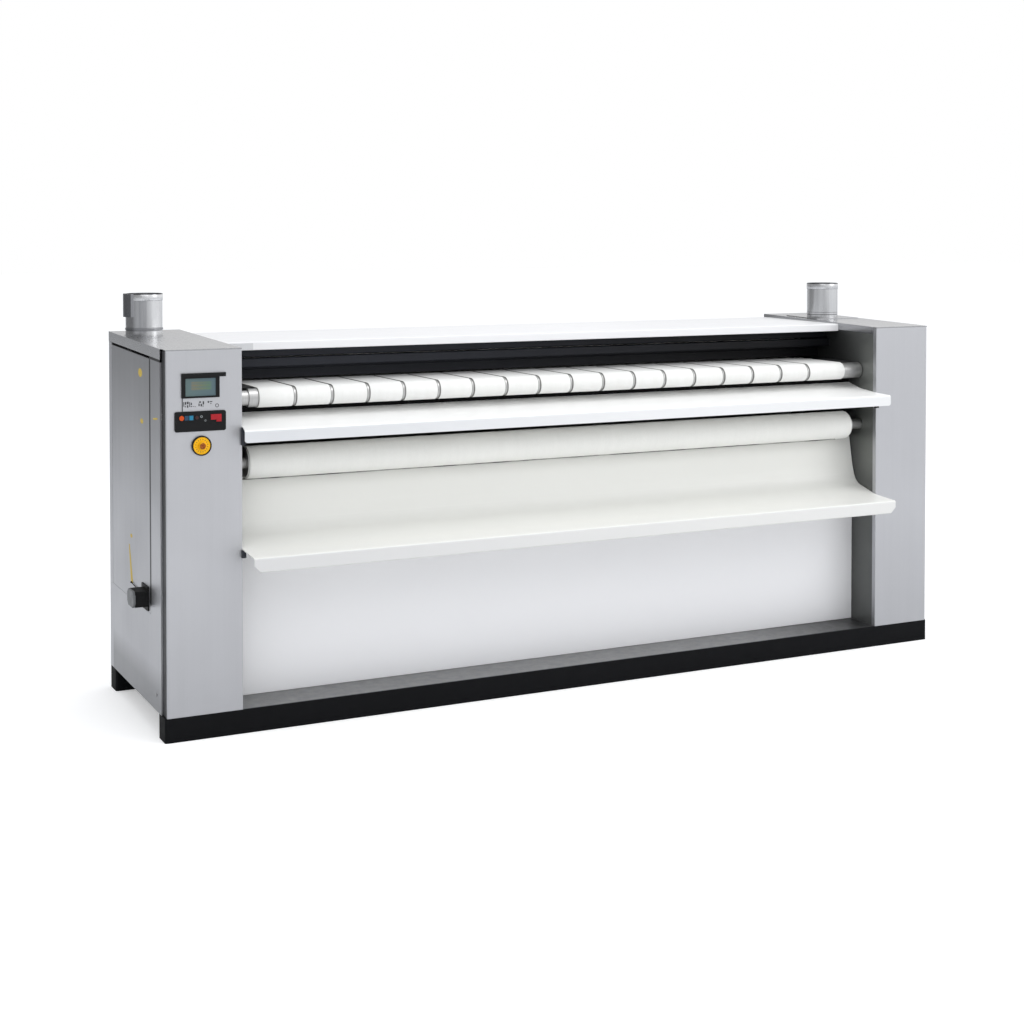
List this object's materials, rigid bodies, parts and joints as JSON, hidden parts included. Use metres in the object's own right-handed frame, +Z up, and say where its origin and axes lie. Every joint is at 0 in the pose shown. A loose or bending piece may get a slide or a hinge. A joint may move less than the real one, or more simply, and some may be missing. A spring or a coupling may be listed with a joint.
{
  "type": "flatwork ironer",
  "caption": "Long sheet-metal flatwork ironer with front feed bands, return roller, collecting tray, end housings, exhaust spigots and a black base.",
  "frame": {"origin": "on the floor, under the middle of the overall box", "axes": "+X along the cylinder towards the right-hand housing, +Y from the operator to the rear covers, +Z up"},
  "size_m": [3.2434, 0.915, 1.463],
  "materials": {
    "housing_steel": "satin",
    "wall_paint": "satin",
    "white_paint": "satin",
    "tray_paint": "satin",
    "panel_paint": "satin",
    "joint_paint": "satin",
    "belt_cloth": "woven",
    "base_paint": "satin",
    "ledge_paint": "satin",
    "beam_paint": "satin",
    "polished_steel": "polished",
    "roller_steel": "turned",
    "cast_parts": "machined",
    "drive_rubber": "matt",
    "motor_paint": "satin",
    "electrical_grey": "satin",
    "gland_plastic": "matt",
    "black_plastic": "matt",
    "screen_film": "glossy",
    "orange_plastic": "glossy",
    "dull_blue_plastic": "glossy",
    "blue_plastic": "glossy",
    "brown_plastic": "glossy",
    "red_plastic": "glossy",
    "yellow_plastic": "glossy",
    "dark_red_plastic": "glossy",
    "grey_plastic": "matt",
    "screw_zinc": "satin"
  },
  "bodies": {
    "machine": {"base_step_plate": "ledge_paint", "cable_gland": "gland_plastic", "collecting_tray": "tray_paint", "cover_screws": "screw_zinc", "display_bezel": "black_plastic", "display_screen": "screen_film", "drive_belt": "drive_rubber", "duct_flange_plate": "housing_steel", "electrical_plate": "electrical_grey", "end_brackets": "beam_paint", "entry_shelf": "white_paint", "estop_disc": "yellow_plastic", "estop_rim": "black_plastic", "exhaust_fans": "wall_paint", "feed_bands": "belt_cloth", "feed_bed": "wall_paint", "floor_plates": "wall_paint", "front_base_rail": "base_paint", "gearmotor": "motor_paint", "guard_beam": "beam_paint", "hood_cover": "white_paint", "hood_joint_plate": "joint_paint", "ironing_belt": "belt_cloth", "keypad_plate": "black_plastic", "left_back_cover": "housing_steel", "left_exhaust_duct": "housing_steel", "left_front_cover": "housing_steel", "left_inner_wall": "wall_paint", "left_side_panel": "housing_steel", "left_top_cover": "housing_steel", "lower_front_panel": "panel_paint", "rear_base_rail": "base_paint", "rear_cover": "panel_paint", "right_back_cover": "housing_steel", "right_exhaust_duct": "housing_steel", "right_front_cover": "housing_steel", "right_inner_wall": "wall_paint", "right_side_panel": "housing_steel", "right_top_cover": "housing_steel", "roller_bearings": "cast_parts", "upper_beam": "beam_paint"},
    "cylinder": {"ironing_cylinder": "polished_steel", "cylinder_pulley": "cast_parts"},
    "return_roller": {"return_roller": "roller_steel"},
    "lower_belt_roller": {"lower_belt_roller": "roller_steel"},
    "upper_belt_roller": {"upper_belt_roller": "roller_steel"},
    "nip_roller": {"nip_roller": "roller_steel"},
    "front_feed_roller": {"front_feed_roller": "roller_steel"},
    "rear_feed_roller": {"rear_feed_roller": "roller_steel"},
    "motor_pulley": {"motor_pulley": "cast_parts"},
    "finger_guard": {"finger_guard": "beam_paint"},
    "side_door": {"left_side_door": "housing_steel", "main_switch_base": "black_plastic"},
    "main_switch_handle": {"main_switch_handle": "grey_plastic"},
    "estop_button": {"estop_button": "dark_red_plastic"},
    "orange_key": {"orange_key": "orange_plastic"},
    "left_blue_key": {"left_blue_key": "dull_blue_plastic"},
    "right_blue_key": {"right_blue_key": "blue_plastic"},
    "brown_key": {"brown_key": "brown_plastic"},
    "red_key": {"red_key": "red_plastic"}
  },
  "joints": [
    {"name": "cylinder_spin", "type": "hinge", "parent": "machine", "child": "cylinder", "pos_m": [0, 0.2095, 1.035], "axis": [1, 0, 0], "continuous": true},
    {"name": "return_roller_spin", "type": "hinge", "parent": "machine", "child": "return_roller", "pos_m": [0, -0.2175, 0.898], "axis": [1, 0, 0], "continuous": true},
    {"name": "lower_belt_roller_spin", "type": "hinge", "parent": "machine", "child": "lower_belt_roller", "pos_m": [0, 0.4115, 0.8725], "axis": [1, 0, 0], "continuous": true},
    {"name": "upper_belt_roller_spin", "type": "hinge", "parent": "machine", "child": "upper_belt_roller", "pos_m": [0, 0.4115, 1.235], "axis": [1, 0, 0], "continuous": true},
    {"name": "nip_roller_spin", "type": "hinge", "parent": "machine", "child": "nip_roller", "pos_m": [0, 0.14636, 1.20847], "axis": [1, 0, 0], "continuous": true},
    {"name": "front_feed_roller_spin", "type": "hinge", "parent": "machine", "child": "front_feed_roller", "pos_m": [0, -0.2105, 1.119], "axis": [1, 0, 0], "continuous": true},
    {"name": "rear_feed_roller_spin", "type": "hinge", "parent": "machine", "child": "rear_feed_roller", "pos_m": [0, 0.05564, 1.129], "axis": [1, 0, 0], "continuous": true},
    {"name": "motor_pulley_spin", "type": "hinge", "parent": "machine", "child": "motor_pulley", "pos_m": [0, -0.0005, 0.43], "axis": [1, 0, 0], "continuous": true},
    {"name": "finger_guard_swing", "type": "hinge", "parent": "machine", "child": "finger_guard", "pos_m": [0, 0.0655, 1.198], "axis": [1, 0, 0], "range_deg": [0, 8], "stiffness_Nm_per_rad": 1},
    {"name": "side_door_swing", "type": "hinge", "parent": "machine", "child": "side_door", "pos_m": [-1.56375, 0.4015, 0.8], "axis": [0, 0, -1], "range_deg": [0, 100]},
    {"name": "main_switch_turn", "type": "hinge", "parent": "side_door", "child": "main_switch_handle", "pos_m": [-1.61375, -0.0795, 0.44], "axis": [1, 0, 0], "range_deg": [0, 90]},
    {"name": "estop_press", "type": "slide", "parent": "machine", "child": "estop_button", "axis": [0, 1, 0], "range_m": [0, 0.004]},
    {"name": "orange_key_press", "type": "slide", "parent": "machine", "child": "orange_key", "axis": [0, 1, 0], "range_m": [0, 0.001], "stiffness_N_per_m": 300, "springref_m": -0.0005},
    {"name": "left_blue_key_press", "type": "slide", "parent": "machine", "child": "left_blue_key", "axis": [0, 1, 0], "range_m": [0, 0.001], "stiffness_N_per_m": 300, "springref_m": -0.0005},
    {"name": "right_blue_key_press", "type": "slide", "parent": "machine", "child": "right_blue_key", "axis": [0, 1, 0], "range_m": [0, 0.001], "stiffness_N_per_m": 300, "springref_m": -0.0005},
    {"name": "brown_key_press", "type": "slide", "parent": "machine", "child": "brown_key", "axis": [0, 1, 0], "range_m": [0, 0.001], "stiffness_N_per_m": 300, "springref_m": -0.0005},
    {"name": "red_key_press", "type": "slide", "parent": "machine", "child": "red_key", "axis": [0, 1, 0], "range_m": [0, 0.001], "stiffness_N_per_m": 300, "springref_m": -0.0005}
  ],
  "couplings": [
    {"joint": "return_roller_spin", "follows": "cylinder_spin", "ratio": -2.7956},
    {"joint": "lower_belt_roller_spin", "follows": "cylinder_spin", "ratio": -5.2708},
    {"joint": "upper_belt_roller_spin", "follows": "cylinder_spin", "ratio": -5.2708},
    {"joint": "nip_roller_spin", "follows": "cylinder_spin", "ratio": -5.2708},
    {"joint": "front_feed_roller_spin", "follows": "cylinder_spin", "ratio": 4.4709},
    {"joint": "rear_feed_roller_spin", "follows": "cylinder_spin", "ratio": 6.3694},
    {"joint": "motor_pulley_spin", "follows": "cylinder_spin", "ratio": 2.7598}
  ]
}
